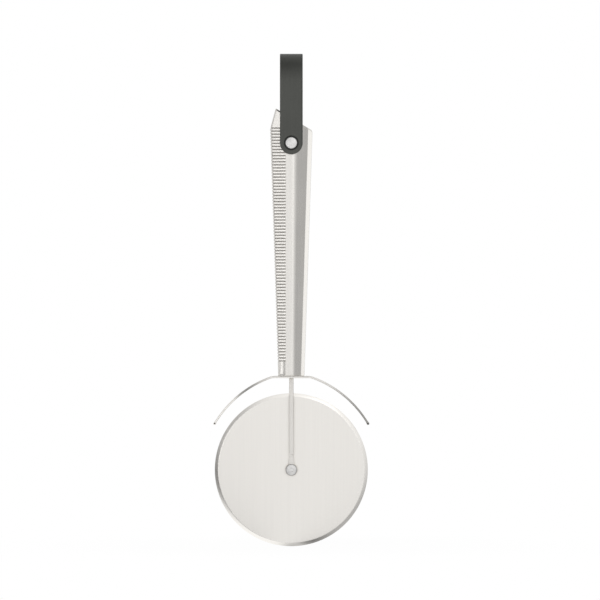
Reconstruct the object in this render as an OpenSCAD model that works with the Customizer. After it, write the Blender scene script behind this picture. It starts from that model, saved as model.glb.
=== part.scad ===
/* [Cutting wheel] */
// Diameter of the cutting wheel
wheel_d = 90; // [80:1:94]
// Thickness of the wheel's sheet
wheel_t = 1.2; // [1:0.1:1.8]
// Width of the ground bevel at the rim, on each face
bevel_w = 2; // [1:0.5:5]
// Thickness left at the very edge
edge_t = 0.2; // [0.1:0.05:0.4]

/* [Axle] */
// Outer diameter of the axle barrel that the wheel turns on
axle_d = 4; // [3:0.1:4.4]
// Diameter of the axle's two round heads
axle_head_d = 6.8; // [6:0.1:9]
// Height of the axle's round heads
axle_head_h = 1.5; // [1:0.1:2]
// Diameter of the axle screw's shank
axle_screw_d = 2.4; // [2:0.1:2.6]
// Height of the straight rim under a head's dome, on the axle and on the loop's post
head_rim = 0.5; // [0.2:0.1:0.7]
// Width across the flats of the hexagonal sockets in both screws' heads
socket_w = 2.2; // [1.5:0.1:2.8]
// Depth of the hexagonal sockets
socket_depth = 0.9; // [0.5:0.1:0.9]
// Wall of the bush around the axle
bush_wall = 1; // [0.8:0.1:1.4]
// Length of the bush along the axle
bush_l = 3.2; // [2.4:0.1:4]
// How far each flange of the bush stands out past its barrel
bush_flange_w = 0.5; // [0.3:0.1:0.8]
// Thickness of the spacer washers
washer_t = 0.4; // [0.3:0.1:0.6]
// Outer diameter of the spacer washers
washer_d = 6.6; // [6:0.1:8]

/* [Fork] */
// Distance from the wheel's axis up to the underside of the guard
fork_reach = 54; // [53:0.5:70]
// Width of the fork's bar, seen from the front
prong_w = 2.6; // [2:0.1:4]
// Depth of each prong, from front to back
prong_depth = 3.2; // [2.4:0.1:5]
// Radius of the prong's long edges
prong_edge_r = 1.1; // [0.3:0.1:1.1]
// Height of the solid crown that joins the prongs
crown_h = 3.8; // [2:0.1:5]
// Height of the flattened end of a prong, above the axis
paddle_h = 7.7; // [5:0.1:12]
// Thickness of the flattened end and its eye
paddle_t = 1.4; // [1:0.1:2]
// Diameter of the eye at the end of each prong
eye_d = 7.2; // [6.4:0.1:10]
// Diameter of the stud above the crown
stud_d = 5; // [4:0.1:6]
// Length of the stud above the guard
stud_l = 22; // [12:1:40]

/* [Finger guard] */
// Distance between the guard's two tips
guard_span = 90; // [70:1:110]
// Length of the flat middle under the handle
guard_flat = 23.6; // [20:0.2:32]
// How far the tips lie below the flat middle
guard_drop = 27.3; // [20:0.1:34]
// Radius of the guard's curved sides
guard_r = 62.8; // [45:0.2:90]
// Thickness of the guard's sheet
guard_t = 1.2; // [0.8:0.1:1.6]
// Width of the guard from front to back
guard_w = 24; // [21:1:32]
// Diameter of the bead along each tip
bead_d = 1.6; // [1.6:0.1:2.4]

/* [Handle] */
// Length of the handle, from the guard to its peak
handle_l = 157.2; // [140:0.2:190]
// Width of the handle where it sits on the guard
base_w = 15.4; // [14:0.2:18]
// Width of the handle at its shoulder, level with the first rib
shoulder_w = 25; // [22:0.2:32]
// How far the shoulder lies below the peak
shoulder_drop = 11.6; // [10:0.2:16]
// Depth of the handle from its front face to its back face
handle_t = 14; // [13:0.5:18]
// How far the ribbed facets' edge lies left of the middle
rib_edge = 3.9; // [3:0.1:5]
// Tilt of the ribbed facets, in degrees
rib_tilt = 10; // [5:1:16]
// Where the flat front face ends, right of the middle, at the base
face_base = 0.7; // [0:0.1:1.2]
// Where the flat front face ends, right of the middle, at the shoulder
face_shoulder = 1.3; // [0:0.1:2.5]
// Where the soft edge turns into the wide bevel, at the base
soft_base = 2.2; // [1.5:0.1:3]
// Where the soft edge turns into the wide bevel, at the shoulder
soft_shoulder = 3.9; // [3:0.1:5]
// Where the wide bevel ends, right of the middle, at the base
bevel_base = 5.6; // [4:0.1:6.5]
// Where the wide bevel ends, right of the middle, at the shoulder
bevel_shoulder = 9.9; // [8:0.1:10.5]
// Tilt of the wide bevel, in degrees
bevel_tilt = 22; // [15:1:24]
// Tilt of the narrow outer bevel, in degrees
outer_tilt = 42; // [30:1:45]
// Width of the small bevel along the left edges
edge_bevel = 0.75; // [0.3:0.05:1.2]
// How far the peak lies left of the middle
peak_x = 9.2; // [7:0.1:10]
// Slope of the slanted top, in degrees
top_slope = 31; // [20:1:38]
// Slope of the steep bevel left of the peak, in degrees
peak_slope = 75; // [70:1:80]
// Diameter of the long bore inside the handle
core_d = 8; // [5:0.5:9]
// Length of the long bore above the base
core_l = 114; // [40:1:118]

/* [Ribs] */
// Least height of the lowest groove above the base
groove_stop = 8.5; // [6:0.5:60]
// Distance from one groove to the next
groove_pitch = 1.8; // [1.4:0.05:1.85]
// Width of each groove
groove_w = 0.9; // [0.5:0.1:1.1]
// Depth of each groove
groove_depth = 0.5; // [0.2:0.1:0.8]
// Depth of the plain pocket below the last groove, on each face
pocket_depth = 0.3; // [0.1:0.1:0.5]
// Height of the pocket's closed lower end above the base
pocket_start = 0.9; // [0.5:0.1:3]

/* [Threaded insert] */
// Outer diameter of the insert in the handle's base
insert_d = 9; // [8:0.1:9.6]
// Length of the insert
insert_l = 22; // [12:1:34]
// How far the insert sits above the handle's base
insert_recess = 0.5; // [0:0.1:2]

/* [Hanging loop] */
// How far the loop's pin lies below the handle's peak
pin_drop = 20.4; // [20:0.2:24]
// Height of the loop above its pin, to the outside of the fold
loop_h = 52.6; // [46:0.2:80]
// Width of the strap
strap_w = 13.4; // [12:0.2:18]
// Thickness of the strap
strap_t = 2.2; // [2:0.1:3]
// Height of the loop's rounded fold, to its outside
fold_h = 17; // [14:0.5:24]
// Outer radius of the fold at its very top
fold_r = 6.4; // [5:0.1:7.5]
// Diameter of the post through the strap and the handle
post_d = 5; // [4:0.1:6]
// Diameter of the post's round heads
post_head_d = 6.8; // [6.4:0.1:8]
// Height of the post's round heads
post_head_h = 1.3; // [1:0.1:2]
// Diameter of the recess in the strap around each head
recess_d = 8.5; // [8.4:0.1:10]
// Depth of that recess
recess_depth = 1; // [0.6:0.1:1.4]
// Diameter of the screw inside the post
post_screw_d = 2.8; // [2:0.1:3]
// Depth of the screw's thread in the post
post_thread_l = 9; // [6:0.5:12]

/* [Clearances] */
// Radial running clearance of the wheel's bush and the strap on their pins
running = 0.06; // [0.02:0.01:0.1]
// Radial clearance between fastened pieces
snug = 0.05; // [0.02:0.01:0.1]
// End play of the wheel's bush, on each side
end_play = 0.1; // [0.05:0.05:0.3]
// Gap between the strap and the handle
strap_gap = 0.3; // [0.2:0.05:0.6]

/* [Hidden] */
$fn = 64;
reach = 400;
axle_z = wheel_d / 2;
guard_z = axle_z + fork_reach;
base_z = guard_z + guard_t;
peak_z = base_z + handle_l;
shoulder_h = handle_l - shoulder_drop;
pin_z = peak_z - pin_drop;
groove_count = 1 + floor((shoulder_h - groove_stop) / groove_pitch);
washer_y = bush_l / 2 + end_play;
eye_y = washer_y + washer_t;
head_y = eye_y + paddle_t;
bush_d = axle_d + 2 * running + 2 * bush_wall;
front_y = -handle_t / 2;
strap_y = handle_t / 2 + strap_gap;
post_head_y = strap_y + strap_t - recess_depth + snug;

// Turns a solid that rises along +Z so that it rises along -Y, towards the front
module to_front() {
    rotate([90, 0, 0]) children();
}

// Turns a solid that rises along +Z so that it rises along +Y, towards the back
module to_back() {
    rotate([-90, 0, 0]) children();
}

// Round bar along Y between two places
module bar_y(r, y0, y1) {
    translate([0, y0, 0]) to_back() cylinder(r = r, h = y1 - y0);
}

// Rectangle with round corners, centred
module soft_rect(w, d, r) {
    square([w - 2 * r, d], center = true);
    square([w, d - 2 * r], center = true);
    for (x = [-1, 1], y = [-1, 1])
        translate([x * (w / 2 - r), y * (d / 2 - r)]) circle(r = r);
}

// Low head with its flat underside at z = 0, a straight rim and a dome
module dome_head(d, h) {
    rise = h - head_rim;
    dome_r = (d * d / 4 + rise * rise) / (2 * rise);
    rotate_extrude() {
        square([d / 2, head_rim]);
        intersection() {
            translate([0, h - dome_r]) circle(r = dome_r);
            square([d / 2, h]);
        }
    }
}

// The same head with a small hexagonal socket in its top
module socket_head(d, h) {
    difference() {
        dome_head(d, h);
        translate([0, 0, h - socket_depth])
            cylinder(d = socket_w * 2 / sqrt(3), h = socket_depth + 1, $fn = 6);
    }
}

// Everything on the inner side of a plane through a point, facing along a normal
module inside_of(point, normal) {
    tilt = acos(normal[2] / norm(normal));
    turn = atan2(normal[1], normal[0]);
    translate(point) rotate([0, tilt, turn])
        translate([-reach / 2, -reach / 2, -reach]) cube(reach);
}

// Round blade with a bevel ground on both faces, in its own plane z = 0
module wheel_blank() {
    r = wheel_d / 2;
    half = wheel_t / 2;
    rotate_extrude($fn = 128) polygon([[0, -half], [r - bevel_w, -half], [r, -edge_t / 2],
        [r, edge_t / 2], [r - bevel_w, half], [0, half]]);
}

module cutting_wheel() {
    color("gainsboro") translate([0, 0, axle_z]) difference() {
        to_front() wheel_blank();
        bar_y(bush_d / 2 + snug, -wheel_t, wheel_t);
    }
}

// Bush with a flange on each face of the wheel
module wheel_bush() {
    flange_t = (bush_l - wheel_t) / 2 - snug;
    color("darkgoldenrod") translate([0, 0, axle_z]) difference() {
        union() {
            bar_y(bush_d / 2, -bush_l / 2, bush_l / 2);
            bar_y(bush_d / 2 + bush_flange_w, -bush_l / 2, -bush_l / 2 + flange_t);
            bar_y(bush_d / 2 + bush_flange_w, bush_l / 2 - flange_t, bush_l / 2);
        }
        bar_y(axle_d / 2 + running, -bush_l, bush_l);
    }
}

module washer(y0) {
    color("whitesmoke") translate([0, 0, axle_z]) difference() {
        bar_y(washer_d / 2, y0, y0 + washer_t);
        bar_y(axle_d / 2 + running, y0 - 1, y0 + washer_t + 1);
    }
}

module front_washer() {
    washer(-washer_y - washer_t);
}

module back_washer() {
    washer(washer_y);
}

// Screw from the front
module axle_screw() {
    color("silver") translate([0, 0, axle_z]) {
        translate([0, -head_y, 0]) to_front() socket_head(axle_head_d, axle_head_h);
        bar_y(axle_screw_d / 2, -head_y, head_y - 2 * snug);
    }
}

// Sleeve nut from the back, threaded inside
module axle_barrel() {
    color("silver") translate([0, 0, axle_z]) difference() {
        union() {
            translate([0, head_y, 0]) to_back() dome_head(axle_head_d, axle_head_h);
            bar_y(axle_d / 2, -head_y + 2 * snug, head_y);
        }
        bar_y(axle_screw_d / 2 + snug, -head_y - 1, head_y);
    }
}

// One prong with its flattened end and eye, on the back side
module prong() {
    bar_y0 = eye_y;
    bar_z = axle_z + paddle_h;
    translate([0, bar_y0 + prong_depth / 2, bar_z])
        linear_extrude(guard_z - crown_h - bar_z) soft_rect(prong_w, prong_depth, prong_edge_r);
    translate([0, eye_y + paddle_t, axle_z]) to_front() linear_extrude(paddle_t) {
        circle(d = eye_d);
        polygon([[-prong_w * 0.75, 0], [prong_w * 0.75, 0],
            [prong_w / 2, paddle_h + 0.5], [-prong_w / 2, paddle_h + 0.5]]);
    }
}

// Inverted U of slim bar with a threaded stud on its crown
module fork() {
    outer = eye_y + prong_depth;
    color("lightgray") difference() {
        union() {
            prong();
            mirror([0, 1, 0]) prong();
            translate([-prong_w / 2, -outer, guard_z - crown_h]) cube([prong_w, 2 * outer, crown_h]);
            translate([0, 0, guard_z]) cylinder(d = stud_d, h = guard_t + insert_recess + stud_l);
        }
        translate([0, 0, axle_z]) bar_y(axle_d / 2 + snug, -outer - 1, outer + 1);
    }
}

// Middle of the circle through two points of a profile, on its lower left
function arc_middle(a, b, r) =
    let (d = norm(b - a), u = (b - a) / d)
    (a + b) / 2 + [u[1], -u[0]] * sqrt(r * r - d * d / 4);

// Right-hand half of the guard's profile, drawn along the middle of its sheet
module guard_side() {
    bend = [guard_flat / 2, 0];
    tip = [guard_span / 2, -guard_drop];
    middle = arc_middle(bend, tip, guard_r);
    a0 = atan2(bend[1] - middle[1], bend[0] - middle[0]);
    a1 = atan2(tip[1] - middle[1], tip[0] - middle[0]);
    far = 2 * guard_r;
    translate([0, -guard_t / 2]) square([guard_flat / 2, guard_t]);
    translate(bend) circle(d = guard_t);
    translate(tip) circle(d = bead_d);
    translate(middle) intersection() {
        difference() {
            circle(r = guard_r + guard_t / 2, $fn = 180);
            circle(r = guard_r - guard_t / 2, $fn = 180);
        }
        polygon([[0, 0], far * [cos(a1), sin(a1)], far * [cos(a0), sin(a0)]]);
    }
}

// Bent sheet that keeps the fingers off the wheel
module guard_plate() {
    color("gainsboro") difference() {
        translate([0, guard_w / 2, guard_z + guard_t / 2]) to_front() linear_extrude(guard_w) {
            guard_side();
            mirror([1, 0]) guard_side();
        }
        translate([0, 0, guard_z - 1]) cylinder(d = stud_d + 2 * snug, h = guard_t + 2);
    }
}

// Threaded bush in the handle's base that takes the fork's stud
module threaded_insert() {
    color("goldenrod") translate([0, 0, base_z + insert_recess]) difference() {
        cylinder(d = insert_d, h = insert_l);
        translate([0, 0, -1]) cylinder(d = stud_d + 2 * snug, h = insert_l + 2);
    }
}

// Plane of a facet whose edge runs from one point at the base to one at the shoulder
module facet(base_xy, shoulder_xy, tilt, inset = 0) {
    rise = [shoulder_xy[0] - base_xy[0], shoulder_xy[1] - base_xy[1], shoulder_h];
    out = cross([cos(tilt), sin(tilt), 0], rise);
    normal = out / norm(out);
    inside_of([base_xy[0], base_xy[1], base_z] - inset * normal, normal);
}

// Plane of the ribbed facet on the front
module rib_plane(inset = 0) {
    facet([-rib_edge, front_y], [-rib_edge, front_y], -rib_tilt, inset);
}

// Left flank of the front: ribbed facet, its small edge bevel and the narrow side
module left_flank(inset = 0) {
    base_x = -base_w / 2;
    shoulder_x = -shoulder_w / 2;
    rib_y = function(x) front_y + (-rib_edge - x) * tan(rib_tilt);
    strip = function(x) [x + edge_bevel, rib_y(x + edge_bevel)];
    intersection() {
        rib_plane(inset);
        facet(strip(base_x), strip(shoulder_x), -rib_tilt - 33, inset);
        facet([base_x, front_y], [shoulder_x, front_y], -90, inset);
    }
}

// Right flank of the front: soft edge, wide bevel, narrow outer bevel and side
module right_flank() {
    soft_y = function(face, soft) front_y + (soft - face) * tan(bevel_tilt / 2);
    bevel_y = function(face, soft, bevel) soft_y(face, soft) + (bevel - soft) * tan(bevel_tilt);
    intersection() {
        facet([face_base, front_y], [face_shoulder, front_y], bevel_tilt / 2);
        facet([soft_base, soft_y(face_base, soft_base)],
            [soft_shoulder, soft_y(face_shoulder, soft_shoulder)], bevel_tilt);
        facet([bevel_base, bevel_y(face_base, soft_base, bevel_base)],
            [bevel_shoulder, bevel_y(face_shoulder, soft_shoulder, bevel_shoulder)], outer_tilt);
        facet([base_w / 2, front_y], [shoulder_w / 2, front_y], 90);
    }
}

// A flank and its mirror image behind the middle plane
module both_faces() {
    intersection() {
        children();
        mirror([0, 1, 0]) children();
    }
}

// What the grooves take off, round the left side from one ribbed facet to the other
module grooves() {
    difference() {
        for (i = [0 : groove_count - 1])
            translate([-shoulder_w, -handle_t, base_z + shoulder_h - i * groove_pitch - groove_w / 2])
                cube([shoulder_w - rib_edge, 2 * handle_t, groove_w]);
        both_faces() left_flank(groove_depth);
    }
}

// What the plain pockets below the last groove take off, front and back
module pockets() {
    left = base_w / 2 - edge_bevel;
    pocket_h = shoulder_h - (groove_count - 1) * groove_pitch - pocket_start;
    difference() {
        translate([-left, -handle_t, base_z + pocket_start])
            cube([left - rib_edge, 2 * handle_t, pocket_h]);
        both_faces() rib_plane(pocket_depth);
    }
}

// Faceted grip, bored from below for the insert and across for the loop's post
module handle_body() {
    color("silver") difference() {
        intersection() {
            translate([-shoulder_w, front_y, base_z]) cube([2 * shoulder_w, handle_t, handle_l + 10]);
            both_faces() left_flank();
            both_faces() right_flank();
            inside_of([-peak_x, 0, peak_z], [sin(top_slope), 0, cos(top_slope)]);
            inside_of([-peak_x, 0, peak_z], [-sin(peak_slope), 0, cos(peak_slope)]);
        }
        grooves();
        pockets();
        translate([0, 0, base_z - 1]) cylinder(d = insert_d + 2 * snug, h = insert_recess + insert_l + 2);
        translate([0, 0, base_z - 1]) cylinder(d = core_d, h = core_l + 1);
        translate([0, 0, pin_z]) bar_y(post_d / 2 + snug, -handle_t, handle_t);
    }
}

// Right half of the fold, from its foot to its top, at a depth below its outside:
// a wide arc at the side runs on into a tighter one at the top
function fold_half(depth) =
    let (a = strap_y + strap_t, rise = fold_h - fold_r, steps = 12,
        side_r = (a * a + rise * rise - fold_r * fold_r) / (2 * (a - fold_r)),
        split = atan2(rise, side_r - a),
        side = [for (i = [0 : steps]) let (t = split * i / steps)
            [a - side_r, 0] + (side_r - depth) * [cos(t), sin(t)]],
        top = [for (i = [1 : steps]) let (t = split + (90 - split) * i / steps)
            [0, rise] + (fold_r - depth) * [cos(t), sin(t)]])
    concat(side, top);

// The whole fold from right to left, mirrored about its top
function fold(depth) =
    let (half = fold_half(depth), last = len(half) - 1)
    concat(half, [for (i = [1 : last]) [-half[last - i][0], half[last - i][1]]]);

// Side view of the strap: two straight strands and the fold, with the fold's foot at y = 0
module strap_side() {
    outer = fold(0);
    inner = fold(strap_t);
    last = len(inner) - 1;
    foot = -loop_h;
    polygon(concat([[strap_y + strap_t, foot]], outer, [[-strap_y - strap_t, foot], [-strap_y, foot]],
        [for (i = [0 : last]) inner[last - i]], [[strap_y, foot]]));
}

// Front view of the strap: round end about the pin, straight sides
module strap_front() {
    difference() {
        union() {
            circle(d = strap_w);
            translate([-strap_w / 2, 0]) square([strap_w, loop_h + 1]);
        }
        circle(r = post_d / 2 + running);
    }
}

// Rubber strap folded over the top, with a recess around each head of the post
module hang_loop() {
    deep = strap_y + strap_t + 1;
    color([0.33, 0.33, 0.32]) translate([0, 0, pin_z]) difference() {
        intersection() {
            translate([-strap_w, 0, loop_h - fold_h]) rotate([90, 0, 90])
                linear_extrude(2 * strap_w) strap_side();
            translate([0, deep, 0]) to_front() linear_extrude(2 * deep) strap_front();
        }
        for (side = [0, 180]) rotate([0, 0, side])
            bar_y(recess_d / 2, strap_y + strap_t - recess_depth, deep);
    }
}

// Post from the front, with its round head in the strap's recess
module loop_post() {
    color("gainsboro") translate([0, 0, pin_z]) difference() {
        union() {
            translate([0, -post_head_y, 0]) to_front() dome_head(post_head_d, post_head_h);
            bar_y(post_d / 2, -post_head_y, post_head_y - snug);
        }
        bar_y(post_screw_d / 2 + snug, post_head_y - post_thread_l - 1, post_head_y + 1);
    }
}

// Screw from the back that closes the post
module loop_post_screw() {
    color("silver") translate([0, 0, pin_z]) {
        translate([0, post_head_y, 0]) to_back() socket_head(post_head_d, post_head_h);
        bar_y(post_screw_d / 2, post_head_y - post_thread_l, post_head_y);
    }
}

cutting_wheel();
wheel_bush();
front_washer();
back_washer();
axle_screw();
axle_barrel();
fork();
guard_plate();
threaded_insert();
handle_body();
hang_loop();
loop_post();
loop_post_screw();
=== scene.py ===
# Wheel pizza cutter: faceted steel grip, finger guard, fork, round blade and a folded hanging strap.
# Shapes are numpy grids in millimetres, put into meshes in metres.
import math

import bmesh
import bpy
import numpy as np
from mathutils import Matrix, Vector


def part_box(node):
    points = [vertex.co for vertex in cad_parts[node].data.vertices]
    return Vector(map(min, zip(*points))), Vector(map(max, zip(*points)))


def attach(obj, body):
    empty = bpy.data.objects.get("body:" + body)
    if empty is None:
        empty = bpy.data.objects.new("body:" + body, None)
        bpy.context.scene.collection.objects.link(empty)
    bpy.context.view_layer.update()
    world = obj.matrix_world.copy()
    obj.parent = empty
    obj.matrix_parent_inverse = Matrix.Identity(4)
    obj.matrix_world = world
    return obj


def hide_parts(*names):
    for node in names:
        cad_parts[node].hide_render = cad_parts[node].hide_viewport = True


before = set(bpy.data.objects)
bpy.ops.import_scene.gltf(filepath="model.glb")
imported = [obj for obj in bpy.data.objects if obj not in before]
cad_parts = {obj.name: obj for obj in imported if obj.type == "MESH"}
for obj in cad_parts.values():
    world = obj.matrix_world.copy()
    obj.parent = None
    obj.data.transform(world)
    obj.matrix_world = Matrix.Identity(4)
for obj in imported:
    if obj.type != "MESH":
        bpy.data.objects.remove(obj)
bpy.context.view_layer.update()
mm = 0.001
print("frame loaded")


def nodeBox(name):
    # lowest and highest corner of a CAD node, in millimetres
    low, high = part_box(name)
    return np.array(low) / mm, np.array(high) / mm


# places that the pieces share, read from the frame
wheelLow, wheelHigh = nodeBox("cutting_wheel")
gripLow, gripHigh = nodeBox("handle_body")
guardLow, guardHigh = nodeBox("guard_plate")
strapLow, strapHigh = nodeBox("hang_loop")
wheelRadius = (wheelHigh[0] - wheelLow[0]) / 2
axleZ = (wheelHigh[2] + wheelLow[2]) / 2
strapHalf = (strapHigh[0] - strapLow[0]) / 2
pinZ = strapLow[2] + strapHalf
baseZ = gripLow[2]


# surfaces

def smooth(share):
    # 3 s^2 - 2 s^3 of the share held between 0 and 1
    held = np.clip(share, 0, 1)
    return held * held * (3 - 2 * held)


def unit(steps):
    # each step divided by its own length
    return steps / np.linalg.norm(steps, axis=-1, keepdims=True)


def gridFaces(rows, columns):
    # quad (i, j) joins rows i and i + 1 at columns j and j + 1, and the last column to the first
    i, j = np.meshgrid(np.arange(rows - 1), np.arange(columns), indexing="ij")
    k = (j + 1) % columns
    quads = np.stack([i * columns + j, i * columns + k, (i + 1) * columns + k, (i + 1) * columns + j], -1)
    return quads.reshape(-1, 4).tolist()


def softLine(corners, cuts, steps=4):
    # an open line of corners: each inner corner becomes a quadratic curve that starts and ends
    # a cut's length away from it, towards its two neighbours
    corners = np.array(corners, float)
    inner = corners[1:-1]
    cut = np.broadcast_to(np.array(cuts, float), len(inner))[:, None]
    start = inner + unit(corners[:-2] - inner) * cut
    end = inner + unit(corners[2:] - inner) * cut
    t = np.linspace(0, 1, steps)[:, None]
    curves = (1 - t) ** 2 * start[:, None] + 2 * t * (1 - t) * inner[:, None] + t ** 2 * end[:, None]
    return np.concatenate([corners[:1], curves.reshape(-1, corners.shape[1]), corners[-1:]])


def softBox(halfWidth, halfDepth, radius, steps=5):
    # outline of a box with round corners, one for each row: four quarter circles about the corners' centres
    quarter = np.repeat(np.arange(4), steps)
    angle = np.radians(quarter * 90 + np.tile(np.linspace(0, 90, steps), 4))
    signX = np.array([1, -1, -1, 1])[quarter]
    signY = np.array([1, 1, -1, -1])[quarter]
    wide, deep, soft = (value[:, None] for value in (halfWidth, halfDepth, radius))
    x = signX * (wide - soft) + soft * np.cos(angle)
    y = signY * (deep - soft) + soft * np.sin(angle)
    return np.stack([x, y], -1)


def lathe(profile, count, centreZ, hexShare=0):
    # each (radius, y) goes once round the axis: x = radius cos t, z = centre + radius sin t;
    # where hexShare is 1 the radius follows a hexagon's side instead of the circle
    t = np.linspace(0, 2 * np.pi, count, endpoint=False)
    side = math.cos(math.pi / 6) / np.cos(np.mod(t, np.pi / 3) - np.pi / 6)
    share = np.broadcast_to(np.asarray(hexShare, float), len(profile))[:, None]
    radius = profile[:, :1] * (1 - share + share * side)
    y = np.broadcast_to(profile[:, 1:2], radius.shape)
    return np.stack([radius * np.cos(t), y, centreZ + radius * np.sin(t)], -1)


def addObject(name, data):
    # object at the origin, linked to the scene
    made = bpy.data.objects.new(name, data)
    bpy.context.scene.collection.objects.link(made)
    return made


def makeObject(name, points, faces=None):
    # mesh object with its seams and poles closed and its faces turned outwards; without faces the points
    # are a grid whose columns close round
    faces = gridFaces(*points.shape[:2]) if faces is None else faces
    mesh = bpy.data.meshes.new(name)
    mesh.from_pydata((points.reshape(-1, 3) * mm).tolist(), [], faces)
    shell = bmesh.new()
    shell.from_mesh(mesh)
    bmesh.ops.remove_doubles(shell, verts=shell.verts, dist=0.003 * mm)
    bmesh.ops.recalc_face_normals(shell, faces=shell.faces)
    shell.to_mesh(mesh)
    shell.free()
    return addObject(name, mesh)


def combine(piece, others, operation="DIFFERENCE"):
    # cuts the other shapes out of a piece, or joins them to it, and deletes them
    for other in others:
        change = piece.modifiers.new(other.name, "BOOLEAN")
        change.operation = operation
        change.solver = "MANIFOLD"
        change.object = other
    graph = bpy.context.evaluated_depsgraph_get()
    mesh = bpy.data.meshes.new_from_object(piece.evaluated_get(graph))
    piece.modifiers.clear()
    piece.data = mesh
    for other in others:
        bpy.data.objects.remove(other)
    return piece


def markPoints(piece, name, values):
    # one number for each point, which the finish reads by its name
    mark = piece.data.attributes.new(name, "FLOAT", "POINT")
    mark.data.foreach_set("value", np.asarray(values, np.float32))


def pointsOf(piece):
    # x, y and z of all points, in millimetres
    place = np.empty(len(piece.data.vertices) * 3)
    piece.data.vertices.foreach_get("co", place)
    return place.reshape(-1, 3).T / mm


def finishPiece(piece, material, body, node, sharp=38):
    # smooth shading with sharp edges past an angle, then finish, body and the CAD node it stands for
    piece.data.materials.clear()
    piece.data.materials.append(material)
    piece.data.shade_smooth()
    piece.data.set_sharp_from_angle(angle=math.radians(sharp))
    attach(piece, body)
    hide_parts(node)
    print(piece.name, len(piece.data.polygons), "faces")


# shader maths

class Wire:
    # a node's output; arithmetic on it, from either side, adds Math nodes
    def __init__(self, shader, socket):
        self.shader = shader
        self.socket = socket

    def maths(self, operation, first, second=0.0):
        return self.shader.node("Math", {"operation": operation}, {0: first, 1: second})

    def __add__(self, other):
        return self.maths("ADD", self, other)

    def __sub__(self, other):
        return self.maths("SUBTRACT", self, other)

    def __mul__(self, other):
        return self.maths("MULTIPLY", self, other)

    def __rsub__(self, other):
        return self.maths("SUBTRACT", other, self)

    __radd__ = __add__
    __rmul__ = __mul__


class Shader:
    # one node tree; node makes any node from its type, settings and sockets and gives one output back
    def __init__(self, tree):
        self.tree = tree
        tree.nodes.clear()

    def node(self, kind, settings={}, sockets={}, output=0):
        made = self.tree.nodes.new("ShaderNode" + kind)
        for name, value in settings.items():
            setattr(made, name, value)
        for name, value in sockets.items():
            if isinstance(value, Wire):
                self.tree.links.new(value.socket, made.inputs[name])
            else:
                made.inputs[name].default_value = value
        return Wire(self, made.outputs[output]) if made.outputs else None

    def mix(self, factor, first, second):
        # the first colour at factor 0 and the second at 1
        return self.node("Mix", {"data_type": "RGBA"}, {0: factor, 6: first, 7: second}, 2)

    def noise(self, place, stretch, detail=3):
        # noise from 0 to 1 at so many turns a metre along x, y and z
        turned = self.node("Mapping", {}, {"Vector": place, "Scale": stretch})
        return self.node("TexNoise", {}, {"Vector": turned, "Scale": 1, "Detail": detail}, "Fac")

    def spread(self, value, low, high):
        # 0 below low, 1 above high and a smooth step between
        settings = {"interpolation_type": "SMOOTHSTEP"}
        return self.node("MapRange", settings, {"Value": value, "From Min": low, "From Max": high})

    def vector(self, operation, *values):
        # a number for a dot product or a length, and a vector for anything else
        output = "Value" if operation in ("DOT_PRODUCT", "LENGTH") else "Vector"
        return self.node("VectorMath", {"operation": operation}, dict(enumerate(values)), output)

    def surface(self, colour, roughness, height, bump, depth=0.02, metallic=1, specular=0.5):
        # the finish itself, which the height bumps by up to a depth in millimetres
        normal = self.node("Bump", {}, {"Strength": bump, "Distance": depth * mm, "Height": height})
        return self.node("BsdfPrincipled", {}, {
            "Base Color": colour, "Metallic": metallic, "Roughness": roughness,
            "Specular IOR Level": specular, "Normal": normal})


def newFinish(name, build):
    # a material whose surface the build function makes from a shader and the piece's own coordinates
    material = bpy.data.materials.new(name)
    material.use_nodes = True
    shader = Shader(material.node_tree)
    place = shader.node("TexCoord", output="Object")
    surface = build(shader, place)
    shader.node("OutputMaterial", {}, {"Surface": surface})
    return material


def grey(level, warmth=0.0):
    # a neutral colour with a little more red and less blue
    return (level * (1 + warmth), level, level * (1 - 1.6 * warmth), 1)


def brushedSteel(name, look):
    # lines along the brushing and soft clouds over them tint and roughen the steel, and the lines bump
    # it; where the piece carries a mark, the mark's own tone and roughness take over
    def build(shader, place):
        fine = shader.noise(place, look["fine"], 4)
        broad = shader.noise(place, look["broad"], 2)
        clouds = shader.noise(place, (60, 60, 60), 3)
        lines = fine * 0.6 + broad * 0.4
        blend = shader.spread(lines + (clouds - 0.5) * 0.2, 0.32, 0.68)
        colour = shader.mix(blend, grey(look["dark"], look["warm"]), grey(look["light"], look["warm"]))
        roughness = look["rough"] + (lines - 0.5) * look["roughSpread"] + (clouds - 0.5) * 0.06
        for mark, tone, rough in look["marks"]:
            share = shader.node("Attribute", {"attribute_name": mark}, {}, "Fac")
            colour = shader.mix(share, colour, grey(tone, look["warm"]))
            roughness = roughness + share * (rough - look["rough"])
        return shader.surface(colour, roughness, lines, look["bump"])
    return newFinish(name, build)


def brass(name, look):
    # yellow metal with turned lines across its axis and a light bloom
    def build(shader, place):
        lines = shader.noise(place, look["fine"], 3)
        bloom = shader.noise(place, (900, 900, 900), 4)
        colour = shader.mix(shader.spread(bloom, 0.35, 0.7), look["dark"], look["light"])
        roughness = look["rough"] + (lines - 0.5) * 0.12
        return shader.surface(colour, roughness, lines, look["bump"])
    return newFinish(name, build)


def washerPlastic(name, look):
    # milky plastic with a fine moulded grain
    def build(shader, place):
        grain = shader.noise(place, (5200, 5200, 5200), 3)
        tone = shader.noise(place, (400, 400, 400), 2)
        colour = shader.mix(tone, look["dark"], look["light"])
        roughness = look["rough"] + (grain - 0.5) * 0.2
        return shader.surface(colour, roughness, grain, look["bump"], depth=0.03, metallic=0)
    return newFinish(name, build)


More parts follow.
